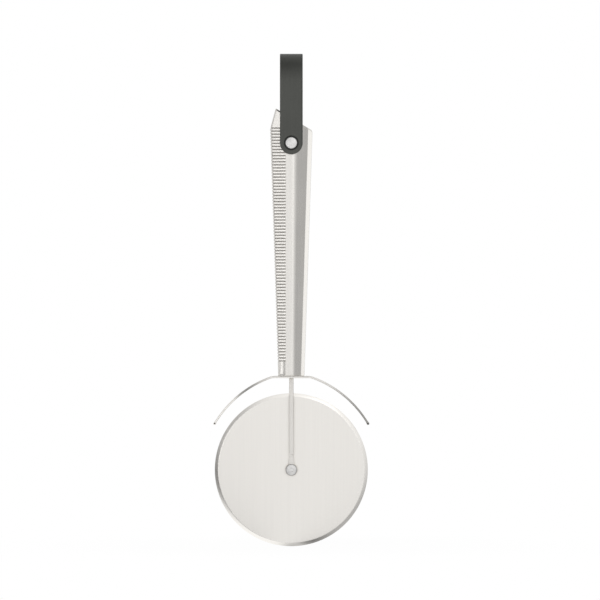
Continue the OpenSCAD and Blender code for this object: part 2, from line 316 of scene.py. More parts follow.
def strapRubber(name, look):
    # dark rubber: a fine pebbled grain, faint lengthwise streaks and clouds of bloom, and painted
    # shade where it carries the stretch mark
    def build(shader, place):
        grain = shader.noise(place, (3400, 3400, 3400), 3)
        streak = shader.noise(place, (900, 900, 40), 2)
        clouds = shader.noise(place, (110, 110, 60), 3)
        tone = shader.spread(clouds * 0.6 + streak * 0.4, 0.3, 0.7)
        colour = shader.mix(tone, look["dark"], look["light"])
        # painted shade from the stretch mark
        stretch = shader.node("Attribute", {"attribute_name": "stretch"}, {}, "Fac")
        colour = shader.mix(stretch, colour, look["shadeColour"])
        roughness = look["rough"] + (grain - 0.5) * 0.16 + (clouds - 0.5) * 0.1
        return shader.surface(colour, roughness, grain, look["bump"], depth=0.04, metallic=0, specular=0.4)
    return newFinish(name, build)


# grip: faceted body, ribbed down its left side, with a slanted top

grip = {
    "baseWidth": 15.4, "shoulderWidth": 25, "shoulderDrop": 11.6,
    "peakX": -9.2, "topSlope": 31, "peakSlope": 75, "peakShare": 0.2, "ridgeBlunt": 0.5,
    "peakCut": 0.95, "peakCutTilt": 43, "peakCutReach": (4, -17),
    "ribEdge": 3.5, "ribTilt": 8.5, "edgeBevel": 0.75, "edgeTilt": 33,
    "face": (-0.1, 0.4), "soft": (2.2, 3.9), "bevel": (5.6, 9.9),  # at the base and at the shoulder
    "bevelTilt": 22, "outerTilt": 42, "cornerCuts": (0.25, 0.2, 0.1, 0.0, 0.25, 0.3),
    "grooves": 77, "pitch": 1.8, "grooveWidth": 0.8, "grooveDepth": 0.5, "grooveWall": 0.12,
    "slotMargin": -0.2, "fadeStart": 0.4, "fadeLength": 1.4,
    "pocketStart": 0.4, "pocketLeft": -6.9, "pocketShare": 0.7,
    "pocketWalls": (1.5, 0.3, 0.6, 0.3),  # right, left, under and over
    "pocketWallShade": 3, "pocketShine": 0.12, "rim": 0.15,
    "topRim": [(0, 1.1), (0, 0.95), (0.03, 0.85), (0.42, 0.15), (0.55, 0.03), (0.75, 0)],  # inset, drop
    "insertBore": 9.1, "insertDepth": 22.5, "coreBore": 8, "coreDepth": 114, "pinBore": 5.1,
    # the sunk mark is painted shade in the grooves and on the pocket's walls; the other mark is a painted
    # sheen on the pocket's floor
    "steel": {"fine": (5200, 5200, 26), "broad": (1100, 1100, 9), "dark": 0.735, "light": 0.78, "warm": 0.028,
              "rough": 0.27, "roughSpread": 0.1, "bump": 0.12,
              "marks": [("sunk", 0.63, 0.5), ("paintedSheen", 0.97, 0.2)]},
}
peakZ = gripHigh[2]
shoulderZ = peakZ - grip["shoulderDrop"]
shoulderHeight = shoulderZ - baseZ


def gripLines(inset, ribInset):
    # corners of the grip's front half at the base and at the shoulder, from left to right: each facet is
    # a line with its own tilt, moved in by the inset, the ribbed side's ones by the rib inset as well,
    # and neighbours meet in a corner
    half = np.array([grip["baseWidth"], grip["shoulderWidth"]]) / 2
    front = gripLow[1]
    face, soft, bevel = (np.array(grip[key]) for key in ("face", "soft", "bevel"))
    tiltOf = {key: math.tan(math.radians(grip[key])) for key in ("ribTilt", "bevelTilt", "outerTilt")}
    stripX = grip["edgeBevel"] - half
    stripY = front - (grip["ribEdge"] + stripX) * tiltOf["ribTilt"]
    softY = front + (soft - face) * math.tan(math.radians(grip["bevelTilt"] / 2))
    bevelY = softY + (bevel - soft) * tiltOf["bevelTilt"]
    flat = np.full(2, front)
    onLines = np.stack([
        np.stack([-half, flat], -1), np.stack([stripX, stripY], -1),
        np.stack([-grip["ribEdge"] + 0 * half, flat], -1), np.stack([0 * half, flat], -1),
        np.stack([soft, softY], -1), np.stack([bevel, bevelY], -1), np.stack([half, flat], -1)], 1)
    tilts = np.radians([-90, -grip["ribTilt"] - grip["edgeTilt"], -grip["ribTilt"], 0,
                        grip["bevelTilt"], grip["outerTilt"], 90])
    normals = np.stack([np.sin(tilts), -np.cos(tilts)], -1)
    moved = inset + ribInset * np.array([1, 1, 1, 0, 0, 0, 0])
    offsets = (onLines * normals).sum(-1) - moved
    a, b, c, d = normals[:-1], normals[1:], offsets[:, :-1], offsets[:, 1:]
    cross = a[:, 0] * b[:, 1] - a[:, 1] * b[:, 0]
    corners = np.stack([(c * b[:, 1] - d * a[:, 1]) / cross, (d * a[:, 0] - c * b[:, 0]) / cross], -1)
    if ribInset:
        corners[:, 2] = gripLines(inset, 0)[:, 2] + [0, ribInset / math.cos(math.radians(grip["ribTilt"]))]
    return corners


def gripColumns(inset, ribInset):
    # the outline's columns at the base and at the shoulder: curves at the corners and
    # points along the facets, closer where the ribs end and under the peak
    corners = gripLines(inset, ribInset)
    line = np.concatenate([corners[:, :1] * [1, 0], corners, corners[:, -1:] * [1, 0]], 1)
    along = unit(np.diff(line, axis=1))
    cuts = np.tile(np.array(grip["cornerCuts"]), (2, 1))
    cuts[:, 3] = gripLines(0, 0)[:, 3, 0] - np.array(grip["face"])
    start = corners - along[:, :-1] * cuts[..., None]
    end = corners + along[:, 1:] * cuts[..., None]

    def curve(corner, steps):
        t = np.linspace(0, 1, steps)[:, None]
        first, last, middle = start[:, None, corner], end[:, None, corner], corners[:, None, corner]
        return (1 - t) ** 2 * first + 2 * t * (1 - t) * middle + t ** 2 * last

    def stretch(first, last, shares):
        return first[:, None] + (last - first)[:, None] * np.array(shares)[:, None]

    peakShare = (peakZ - baseZ) / shoulderHeight
    ribStart, ribEnd = end[:, 1, 0], start[:, 2, 0]
    startAtPeak = ribStart[0] + (ribStart[1] - ribStart[0]) * peakShare
    ridge = (grip["peakX"] - startAtPeak) / (ribEnd[1] - startAtPeak)
    ribShares = [0.06, *(ridge + np.array([-0.1, -0.04, -0.015, 0, 0.015, 0.04, 0.1])), 0.7]
    slots = np.array([1.1, 0.75, 0.5, 0.33, 0.2, 0.12, 0.05])[:, None]
    return np.concatenate([
        stretch(line[:, 0], start[:, 0], [0, 0.5, 0.9]), curve(0, 4),
        stretch(end[:, 0], start[:, 1], [0.5]), curve(1, 4),
        stretch(end[:, 1], start[:, 2], ribShares),
        start[:, None, 2] - along[:, None, 2] * slots, curve(2, 3),
        stretch(end[:, 2], start[:, 3], [0.06, 0.5, 0.94]), curve(3, 8),
        stretch(end[:, 3], start[:, 4], [0.06, 0.5, 0.94]), curve(4, 4),
        stretch(end[:, 4], start[:, 5], [0.12, 0.88]), curve(5, 4),
        stretch(end[:, 5], line[:, -1], [0.1, 0.5, 1])], 1)


def gripOutline(inset, ribInset):
    # the front half's columns moved in, left of the peak by only a share of it sideways, then the same
    # ones mirrored behind, back to the first
    plain, moved = gripColumns(0, ribInset), gripColumns(inset, ribInset)
    share = np.where(plain[..., :1] < grip["peakX"], [grip["peakShare"], 1], 1)
    front = plain + (moved - plain) * share
    behind = front[:, -2:0:-1] * [1, -1]
    return np.concatenate([front, behind], 1)


def gripTop(columns, drop):
    # height where each column meets the slanted top: the lower of two planes, moved in by the drop and
    # on the steep side by a share of it, with a blunted ridge: (a + b - sqrt((a - b)^2 + k^2)) / 2
    rise = (columns[1, :, 0] - columns[0, :, 0]) / shoulderHeight
    start = columns[0, :, 0] - rise * baseZ
    topSlope, peakSlope = (math.radians(grip[key]) for key in ("topSlope", "peakSlope"))
    right, left = math.tan(topSlope), math.tan(peakSlope)
    rightDrop, leftDrop = drop / math.cos(topSlope), grip["peakShare"] * drop / math.cos(peakSlope)
    rightZ = (peakZ + right * (grip["peakX"] - start) - rightDrop) / (1 + right * rise)
    leftZ = (peakZ - left * (grip["peakX"] - start) - leftDrop) / (1 - left * rise)
    return (rightZ + leftZ - np.sqrt((rightZ - leftZ) ** 2 + grip["ridgeBlunt"] ** 2)) / 2


def ribParts(x, z):
    # for the grooves and for the pocket, 1 on the floor and 0 on the facet: a groove is a slot with a
    # round right-hand end, and the pocket under the last one has a wide slope on its right
    lastGroove = shoulderZ - (grip["grooves"] - 1) * grip["pitch"]
    nearest = np.clip(np.round((shoulderZ - z) / grip["pitch"]), 0, grip["grooves"] - 1)
    away = np.abs(z - (shoulderZ - nearest * grip["pitch"]))
    reach = -grip["ribEdge"] - grip["slotMargin"] - x
    halfSlot = grip["grooveWidth"] / 2
    inside = halfSlot - np.hypot(away, np.maximum(halfSlot - reach, 0))
    gaps = [reach, x - grip["pocketLeft"], z - baseZ - grip["pocketStart"], lastGroove - z]
    sides = [gap / wall for gap, wall in zip(gaps, grip["pocketWalls"])]
    return smooth(inside / grip["grooveWall"]), smooth(np.min(sides, 0))


def ribShare(x, z):
    # depth of the ribs' grooves and of the pocket, as a share of the grooves' depth
    groove, pocket = ribParts(x, z)
    return np.maximum(groove, grip["pocketShare"] * pocket)


def gripRows(inset, heights, drop):
    # points of some rows: the outline at each height, cut off at the slanted top, sunk by the ribs
    columns, sunk = (gripOutline(inset, depth) for depth in (0, grip["grooveDepth"]))
    z = np.minimum(np.asarray(heights, float)[:, None], gripTop(columns, drop))
    share = ((z - baseZ) / shoulderHeight)[..., None]
    plain = columns[0] + share * (columns[1] - columns[0])
    deep = sunk[0] + share * (sunk[1] - sunk[0])
    place = plain + (deep - plain) * ribShare(plain[..., 0], z)[..., None]
    return np.concatenate([place, z[..., None]], -1)


def makeGrip():
    # rows from the base to the slanted top, rounded in below and chamfered above, and a flat cap on
    # each end. The grooves get painted shade, in the sunk mark, fading to their right, and so do the pocket's
    # walls, by a multiple of p (1 - p) at p of its depth; its floor gets a little painted sheen
    rim, topRim = grip["rim"], grip["topRim"]
    turns = np.radians([0, 30, 60, 90])
    across = np.array([-0.52, -0.45, -0.39, -0.33, 0, 0.33, 0.39, 0.45, 0.52])
    centres = shoulderZ - np.arange(grip["grooves"])[::-1] * grip["pitch"]
    low = baseZ + np.array([0.4, 0.8, 0.95, 1.1, 1.25, 1.4, 1.6, 3.0, 5.5, 8.0])
    high = peakZ + np.array([-9.8, -8, -6, -4, -2, 0])
    body = np.concatenate([low, (centres[:, None] + across).ravel(), high])
    under = [gripRows(rim * (1 - math.cos(t)), [baseZ + rim * (1 - math.sin(t))], 0) for t in turns[::-1]]
    over = [gripRows(inset, [peakZ + 1], drop) for inset, drop in topRim]
    inner = [gripRows(rim + 0.2, [baseZ], 0), gripRows(topRim[-1][0] + 0.2, [peakZ + 1], 0)]
    points = np.concatenate([inner[0], *under, gripRows(0, body, topRim[0][1]), *over, inner[1]])
    rows, columns = points.shape[:2]
    left = np.arange(1, columns // 2 - 1)
    cap = np.stack([left, left + 1, columns - left - 1, columns - left], -1)
    middle = columns // 2
    ends = [[0, 1, columns - 1], [middle - 1, middle, middle + 1]]
    faces = gridFaces(rows, columns)
    for first in (0, (rows - 1) * columns):
        faces += (cap + first).tolist() + [[corner + first for corner in end] for end in ends]
    piece = makeObject("gripBody", points, faces)
    combine(piece, [
        peakCutter("frontCut", 1), peakCutter("backCut", -1),
        bore("insertBore", grip["insertBore"] / 2, baseZ - 1, baseZ + grip["insertDepth"]),
        bore("coreBore", grip["coreBore"] / 2, baseZ - 2, baseZ + grip["coreDepth"]),
        crossBore("pinBore", grip["pinBore"] / 2, pinZ, 2 * gripLow[1], 2 * gripHigh[1])])
    x, z = pointsOf(piece)[[0, 2]]
    groove, pocket = ribParts(x, z)
    fade = smooth((grip["fadeStart"] - grip["ribEdge"] - x) / grip["fadeLength"])
    # painted shade in the grooves and on the pocket's walls, and painted sheen on the pocket's floor
    markPoints(piece, "sunk", np.maximum(groove * fade, grip["pocketWallShade"] * pocket * (1 - pocket)))
    markPoints(piece, "paintedSheen", grip["pocketShine"] * smooth(2 * pocket - 1))
    return piece


def peakCutter(name, side):
    # three-sided bar along the steep side of the peak, in front or behind: its slanted face enters the
    # ribbed facet a margin inside the edge and falls back by an angle
    steep, tilt, fall = (math.radians(grip[key]) for key in ("peakSlope", "ribTilt", "peakCutTilt"))
    facing = np.array([-math.sin(tilt), -math.cos(tilt), 0])
    along = unit(np.array([math.cos(steep), -math.cos(steep) * math.tan(tilt), math.sin(steep)]))
    across = np.cross(facing, along)
    peakY = gripLow[1] - (grip["ribEdge"] + grip["peakX"]) * math.tan(tilt)
    start = np.array([grip["peakX"], peakY, peakZ]) - grip["peakCut"] * across
    slant = math.cos(fall) * across - math.sin(fall) * facing
    section = start + np.array([-0.3 * slant, 5 * slant, 5 * across + facing])
    middle = np.broadcast_to(section.mean(0), (3, 3))
    upper, lower = grip["peakCutReach"][0] * along, grip["peakCutReach"][1] * along
    rows = [middle + upper, section + upper, section + lower, middle + lower]
    return makeObject(name, np.array(rows) * [1, side, 1])


def bore(name, radius, low, high, count=64):
    # upright cylinder between two heights
    t = np.linspace(0, 2 * np.pi, count, endpoint=False)
    distance, z = np.array([(0, low), (radius, low), (radius, high), (0, high)]).T[..., None]
    return makeObject(name, np.stack([distance * np.cos(t), distance * np.sin(t), z + 0 * t], -1))


def crossBore(name, radius, centreZ, start, end, centreX=0, count=64):
    # cylinder along Y between two depths
    profile = np.array([(0, start), (radius, start), (radius, end), (0, end)])
    return makeObject(name, lathe(profile, count, centreZ) + [centreX, 0, 0])


gripSteel = brushedSteel("gripSteel", grip["steel"])
finishPiece(makeGrip(), gripSteel, "handle", "handle_body")


# blade: flat disc with a hollow-ground bevel

blade = {
    "bevel": 2.0, "edgeHalf": 0.1, "hollow": 0.1, "bore": 3.11, "boreCut": 0.1, "count": 288,
    "steel": {"fine": (4200, 4200, 30), "broad": (700, 700, 14), "dark": 0.808, "light": 0.83, "warm": 0.028,
              "rough": 0.3, "roughSpread": 0.05, "bump": 0.08,
              "marks": [("ground", 0.95, 0.18)]},
}


def makeBlade():
    # half thickness falls across the bevel by a straight line mixed with a parabola that steepens outwards
    half = wheelHigh[1]
    share = np.linspace(0, 1, 9)
    fall = (1 - blade["hollow"]) * share + blade["hollow"] * share ** 2
    radius = wheelRadius - blade["bevel"] * (1 - share)
    bevel = np.stack([radius, half - (half - blade["edgeHalf"]) * fall], -1)
    cut, hole = blade["boreCut"], blade["bore"]
    inner = wheelRadius - blade["bevel"]
    flat = [(radius, half) for radius in (hole + cut, hole + 0.4, 20, inner - 0.3)]
    back = np.concatenate([[(hole, half - cut)], flat, bevel])
    profile = np.concatenate([back, back[::-1] * [1, -1], back[:1]])
    piece = makeObject("bladeDisc", lathe(profile, blade["count"], axleZ))
    x, z = pointsOf(piece)[[0, 2]]
    markPoints(piece, "ground", np.hypot(x, z - axleZ) > inner + 0.1)
    return piece


bladeSteel = brushedSteel("bladeSteel", blade["steel"])
finishPiece(makeBlade(), bladeSteel, "wheel", "cutting_wheel", 60)


# finger guard: bent sheet with a bead along each tip

guard = {
    "flat": 11.3, "radius": 62.8, "half": 0.6, "bend": 1.2, "bead": 0.8, "edge": 0.55, "hole": 5.1,
    "rollHole": 0.38, "rollDeep": 3, "sheenFrom": -30, "sheenFade": 5,
    # places along the long edges that get painted shade
    "edgeShadeSpots": [{"x": -26, "wide": 7.5, "share": 0.75}, {"x": 42.5, "wide": 15.5, "share": 0.7}],
    # the cut mark is painted shade; the other mark is a painted sheen
    "steel": {"fine": (26, 5200, 5200), "broad": (12, 900, 900), "dark": 0.8, "light": 0.85,
              "warm": 0.028, "rough": 0.26, "roughSpread": 0.1, "bump": 0.1,
              "marks": [("cut", 0.22, 0.45), ("paintedSheen", 0.97, 0.2)]},
}


def guardLine():
    # right half of the sheet's middle line, from the centre to the tip: straight, a small bend, an arc;
    # the arc's centre is where both its ends are one radius away
    middleZ = guardHigh[2] - guard["half"]
    bend = np.array([guard["flat"], middleZ])
    tip = np.array([guardHigh[0] - guard["bead"], guardLow[2] + guard["bead"]])
    chord = tip - bend
    length = np.linalg.norm(chord)
    inward = np.array([chord[1], -chord[0]]) / length
    centre = (bend + tip) / 2 + inward * math.sqrt(guard["radius"] ** 2 - length ** 2 / 4)
    first, last = (math.atan2(*(end - centre)[::-1]) for end in (bend, tip))
    angles = np.linspace(first - guard["bend"] / guard["radius"], last, 40)
    arc = centre + guard["radius"] * np.stack([np.cos(angles), np.sin(angles)], -1)
    flat = np.array([(0, middleZ), (6, middleZ)])
    turn = softLine([flat[-1], bend, arc[0]], [guard["bend"]], 6)[1:]
    return np.concatenate([flat, turn, arc[1:]])


def makeGuard():
    # the sheet's section, a flat box with round edges, follows the line and swells into the tip's bead,
    # whose half thickness is sqrt(bead^2 - s^2) at s from its middle. Painted shade, in the cut mark, darkens
    # the long edges in bells exp(-((x - middle) / wide)^2) and each bead's hole; painted sheen lightens the
    # left end
    half = guardLine()
    outwards = unit(half[-1] - half[-2])
    bead = guard["bead"]
    beyond = bead * np.array([0.35, 0.65, 0.87, 0.97, 1])
    line = np.concatenate([half, half[-1] + outwards * beyond[:, None]])
    fromTip = np.concatenate([[0], np.cumsum(np.linalg.norm(np.diff(line, axis=0), axis=1))])
    fromTip = fromTip - fromTip[-1] + bead
    beadHalf = np.sqrt(np.maximum(bead ** 2 - fromTip ** 2, 0))
    thick = np.where(fromTip < 0, np.maximum(beadHalf, guard["half"]), beadHalf)
    mirrored = line[:0:-1] * [-1, 1]
    whole = np.concatenate([mirrored, line])
    thick = np.concatenate([thick[:0:-1], thick])
    along = unit(np.gradient(whole, axis=0))
    normal = np.stack([-along[:, 1], along[:, 0]], -1)
    outline = softBox(np.full(len(whole), guardHigh[1]), thick, np.minimum(guard["edge"], thick * 0.98), 5)
    x = whole[:, None, 0] + outline[..., 1] * normal[:, None, 0]
    z = whole[:, None, 1] + outline[..., 1] * normal[:, None, 1]
    piece = makeObject("guardSheet", np.stack([x, outline[..., 0], z], -1))
    cutters = [bore("studHole", guard["hole"] / 2, baseZ - 3, baseZ + 1)]
    rolls = [tuple(half[-1] * [sign, 1]) for sign in (-1, 1)]
    for number, (rollX, rollZ) in enumerate(rolls):
        for side in (-1, 1):
            start, end = guardHigh[1] * side - guard["rollDeep"] * side, guardHigh[1] * side + side
            cutters.append(crossBore(f"roll{number}{side}", guard["rollHole"], rollZ, start, end, rollX, 24))
    combine(piece, cutters)
    x, y, z = pointsOf(piece)
    edge = smooth((abs(y) - guardHigh[1] + guard["edge"] + 0.1) / 0.2)
    dark = sum(spot["share"] * np.exp(-((x - spot["x"]) / spot["wide"]) ** 2) for spot in guard["edgeShadeSpots"])
    inRoll = sum(np.hypot(x - rollX, z - rollZ) < guard["rollHole"] + 0.05 for rollX, rollZ in rolls)
    # painted shade on the long edges and in the beads' holes, and painted sheen on the left end
    markPoints(piece, "cut", np.maximum(edge * np.minimum(dark, 1), inRoll))
    markPoints(piece, "paintedSheen", smooth((guard["sheenFrom"] - x) / guard["sheenFade"]) * (1 - inRoll))
    return piece


guardSteel = brushedSteel("guardSteel", guard["steel"])
finishPiece(makeGuard(), guardSteel, "handle", "guard_plate")


# fork: slim bar bent over the blade, flattened at both ends

fork = {
    "width": 2.6, "depth": 3.2, "edge": 0.3, "crown": 3.8, "outerBend": 0.5, "innerBend": 0.3,
    "paddleTop": 7.7, "paddleThick": 1.4, "paddleEdge": 0.25, "slopeLength": 2.6, "slopeShine": 0.5,
    "eye": 3.6, "flare": 1.95, "hole": 4.1, "stud": 2.5,
    "steel": {"fine": (5200, 5200, 30), "broad": (1600, 1600, 14), "dark": 0.765, "light": 0.805,
              "warm": 0.028, "rough": 0.45, "roughSpread": 0.1, "bump": 0.1,
              "marks": [("paintedSheen", 0.97, 0.3)]},
}


def makeFork():
    # a box section with round edges follows the back half of the bar upwards, round a mitred corner and
    # over; its width follows the eye's circle, then the flare, and its depth grows from the flattened
    # end to the bar, over a slope whose middle gets a painted sheen
    forkHigh = nodeBox("fork")[1]
    inner = forkHigh[1] - fork["depth"]
    crownTop = baseZ - 2 * guard["half"]
    turns = np.radians(np.linspace(90, 0, 10))
    eyeZ = axleZ - fork["eye"] * np.sin(turns)
    paddle = axleZ + np.array([0.8, 1.6, 2.4, 3.2, 4.2, 5.4, 6.6, 7.5])
    slope = axleZ + fork["paddleTop"] + fork["slopeLength"] * np.array([0, 0.12, 0.5, 0.88, 1.0])
    shoulder = crownTop - fork["crown"] - fork["innerBend"]
    bar = np.append(axleZ + np.array([12, 20, 30, 40]), shoulder - 0.4)
    z = np.concatenate([eyeZ, paddle, slope, bar])
    above = z - axleZ
    circle = np.sqrt(np.maximum(fork["eye"] ** 2 - above ** 2, 0))
    flare = fork["flare"] + (fork["width"] / 2 - fork["flare"]) * np.clip(above / fork["paddleTop"], 0, 1)
    width = np.where(above < 0, circle, np.maximum(circle, flare))
    grow = smooth((above - fork["paddleTop"]) / fork["slopeLength"])
    deep = fork["paddleThick"] + (fork["depth"] - fork["paddleThick"]) * grow
    edge = np.minimum(fork["paddleEdge"] + (fork["edge"] - fork["paddleEdge"]) * grow, width * 0.95)
    centre = np.stack([inner + deep / 2, z], -1)
    bend = np.radians(np.linspace(0, 90, 9))[:, None]
    fallen = 1 - np.concatenate([np.cos(bend), np.sin(bend)], 1)
    outerCorner = np.array([forkHigh[1], crownTop]) - fork["outerBend"] * fallen
    innerCorner = np.array([inner, crownTop - fork["crown"]]) - fork["innerBend"] * fallen
    span = outerCorner - innerCorner
    halfLine = np.concatenate([centre, (outerCorner + innerCorner) / 2, [[0, crownTop - fork["crown"] / 2]]])
    across = np.concatenate([np.tile([1, 0], (len(z), 1)), unit(span), [[0, 1]]])
    halfDeep = np.concatenate([deep, np.linalg.norm(span, axis=1), [fork["crown"]]]) / 2
    halfWidth = np.concatenate([width, np.full(len(bend) + 1, fork["width"] / 2)])
    halfEdge = np.concatenate([edge, np.full(len(bend) + 1, fork["edge"])])

    def mirrorRows(values, sign):
        return np.concatenate([values, values[-2::-1] * sign])

    line = mirrorRows(halfLine, np.array([-1, 1]))
    out = mirrorRows(across, np.array([-1, 1]))
    outline = softBox(mirrorRows(halfWidth, 1), mirrorRows(halfDeep, 1),
                      np.minimum(mirrorRows(halfEdge, 1), mirrorRows(halfDeep, 1) * 0.98), 7)
    y = line[:, None, 0] + outline[..., 1] * out[:, None, 0]
    height = line[:, None, 1] + outline[..., 1] * out[:, None, 1]
    piece = makeObject("forkBar", np.stack([outline[..., 0], y, height], -1))
    combine(piece, [bore("stud", fork["stud"], crownTop - 0.1, forkHigh[2])], "UNION")
    combine(piece, [crossBore("eyeHole", fork["hole"] / 2, axleZ, -20, 20)])
    # painted sheen on the middle of the slope
    fromSlope = abs(pointsOf(piece)[2] - axleZ - fork["paddleTop"] - fork["slopeLength"] / 2)
    markPoints(piece, "paintedSheen", fork["slopeShine"] * (fromSlope < 0.45 * fork["slopeLength"]))
    return piece


forkSteel = brushedSteel("forkSteel", fork["steel"])
finishPiece(makeFork(), forkSteel, "handle", "fork")


# round heads of the axle and of the strap's post

heads = {
    "count": 96, "softCut": 0.12, "rimCut": 0.35, "play": 0.05,
    "socketWidth": 2.2, "socketDepth": 0.9, "socketCut": 0.04, "mouthDrop": 0.04, "mouthCut": (0.12, 0.1),
    "plainDome": (0.85, 0.65, 0.45, 0.25, 0.1), "socketDome": (0.9, 0.75, 0.6, 0.5),
    "axle": {"centreZ": axleZ, "head": 3.4, "height": 1.5, "rise": 0.45, "rimShade": 0.55,
             "screw": 1.2, "barrel": 2.0},
    "post": {"centreZ": pinZ, "head": 3.4, "height": 1.3, "rise": 0.3, "rimShade": 0,
             "screw": 1.4, "barrel": 2.5, "thread": 9},
    # the cut mark is painted shade, a dark outline on the rim of the axle's heads
    "steel": {"fine": (900, 900, 900), "broad": (1500, 1500, 1500), "dark": 0.66, "light": 0.82,
              "warm": 0.01, "rough": 0.36, "roughSpread": 0.16, "bump": 0.3,
              "marks": [("cut", 0.3, 0.5)]},
}


def makeHead(name, node, side, group, shank, drilled=False):
    # a shank, a straight rim and a dome, turned about Y between the CAD node's ends, with the head in
    # front for side -1 and behind for 1. The dome is a circle's arc, height - R + sqrt(R^2 - r^2) over
    # its seat, with R = (head^2 + rise^2) / (2 rise), and a screw has a socket with six flat walls
    size, play, steps = heads[group], heads["play"], 4
    socket, drill = shank == "screw", size["screw"] + play
    rise, height, centreZ, shankRadius = size["rise"], size["height"], size["centreZ"], size[shank]
    tip, outer = (corner[1] for corner in nodeBox(node)[::side])
    seat = outer - side * height
    length = abs(seat - tip)
    domeRadius = (size["head"] ** 2 + rise ** 2) / (2 * rise)
    domeX = size["head"] * np.array(heads["socketDome"] if socket else heads["plainDome"])
    domeH = height - domeRadius + np.sqrt(domeRadius ** 2 - domeX ** 2)
    shaft = [(0, -play), (drill, -play), (drill, -length)] if drilled else [(0, -length)]
    shaft += [(shankRadius, -length), (shankRadius, play)]
    rim = [(size["head"], play), (size["head"], height - rise)]
    end = [(0, height)]
    if socket:
        corner, floor = heads["socketWidth"] / math.sqrt(3), height - heads["socketDepth"]
        top, (cutX, cutH) = height - heads["mouthDrop"], heads["mouthCut"]
        end = [(corner + cutX, top), (corner, top - cutH), (corner, floor), (0, floor)]
    corners = shaft + rim + [*zip(domeX, domeH)] + end
    cuts = np.full(len(corners) - 2, heads["softCut"])
    cuts[len(shaft)] = heads["rimCut"]
    hexShare = np.zeros(2 + steps * len(cuts))
    if socket:
        cuts[-3:] = heads["socketCut"]
        hexShare[-1 - 3 * steps:-1] = 1
    profile = softLine(corners, cuts, steps) * [1, side] + [0, seat]
    piece = makeObject(name, lathe(profile, heads["count"], centreZ, hexShare))
    x, z = pointsOf(piece)[[0, 2]]
    # painted shade: a dark outline on the head's rim
    onRim = np.hypot(x, z - centreZ) > size["head"] - heads["rimCut"] - 0.05
    markPoints(piece, "cut", size["rimShade"] * onRim)
    return piece


def makePost():
    # the front head with its shank, drilled from behind for the screw
    piece = makeHead("postHead", "loop_post", -1, "post", "barrel")
    size, end = heads["post"], nodeBox("loop_post")[1][1]
    drill = size["screw"] + heads["play"]
    return combine(piece, [crossBore("postDrill", drill, pinZ, end - size["thread"], end + 1)])


headSteel = brushedSteel("headSteel", heads["steel"])
headPieces = {
    "axle_screw": makeHead("axleScrewHead", "axle_screw", -1, "axle", "screw"),
    "axle_barrel": makeHead("axleBarrelHead", "axle_barrel", 1, "axle", "barrel", drilled=True),
    "loop_post_screw": makeHead("postScrew", "loop_post_screw", 1, "post", "screw"),
    "loop_post": makePost(),
}
for node, piece in headPieces.items():
    finishPiece(piece, headSteel, "handle", node)


# strap: one rubber band folded over the top, with a round end and a recess both in front and behind

strap = {
    "thick": 2.2, "edge": 0.45, "foldHeight": 17, "foldRadius": 6.4, "hole": 2.56,
    # the stretch mark's painted shade: in the recess, over the fold below its crown and on the right-hand rim
    "recess": 4.25, "recessDepth": 1.0, "recessSoft": 0.2, "recessShade": 0.95,
    "foldShade": 0.55, "foldFade": (1, 13), "crownFade": (6.5, 5),  # how far under, and how long
    "rimShade": 0.35, "rimFade": (0.95, 0.3),
    "rubber": {"dark": (0.055, 0.0565, 0.05, 1), "light": (0.066, 0.068, 0.061, 1), "rough": 0.44,
               "bump": 0.35, "shadeColour": (0.014, 0.015, 0.013, 1)},
}


def strapMiddle():
    # middle of the band from the fold's foot at the back to its top: a wide arc at the side runs on
    # into a tighter one, both seen from the side as (y, z) with their outward normals
    outer = strapHigh[1]
    rise = strap["foldHeight"] - strap["foldRadius"]
    sideRadius = (outer ** 2 + rise ** 2 - strap["foldRadius"] ** 2) / (2 * (outer - strap["foldRadius"]))
    split = math.atan2(rise, sideRadius - outer)
    foot = strapHigh[2] - strap["foldHeight"]
    sideTurn = np.linspace(0, split, 12)
    topTurn = np.linspace(split, math.pi / 2, 18)[1:]
    sideNormal, topNormal = (np.stack([np.cos(t), np.sin(t)], -1) for t in (sideTurn, topTurn))
    depth = strap["thick"] / 2
    side = np.array([outer - sideRadius, foot]) + (sideRadius - depth) * sideNormal
    top = np.array([0, foot + rise]) + (strap["foldRadius"] - depth) * topNormal
    return np.concatenate([side, top]), np.concatenate([sideNormal, topNormal])


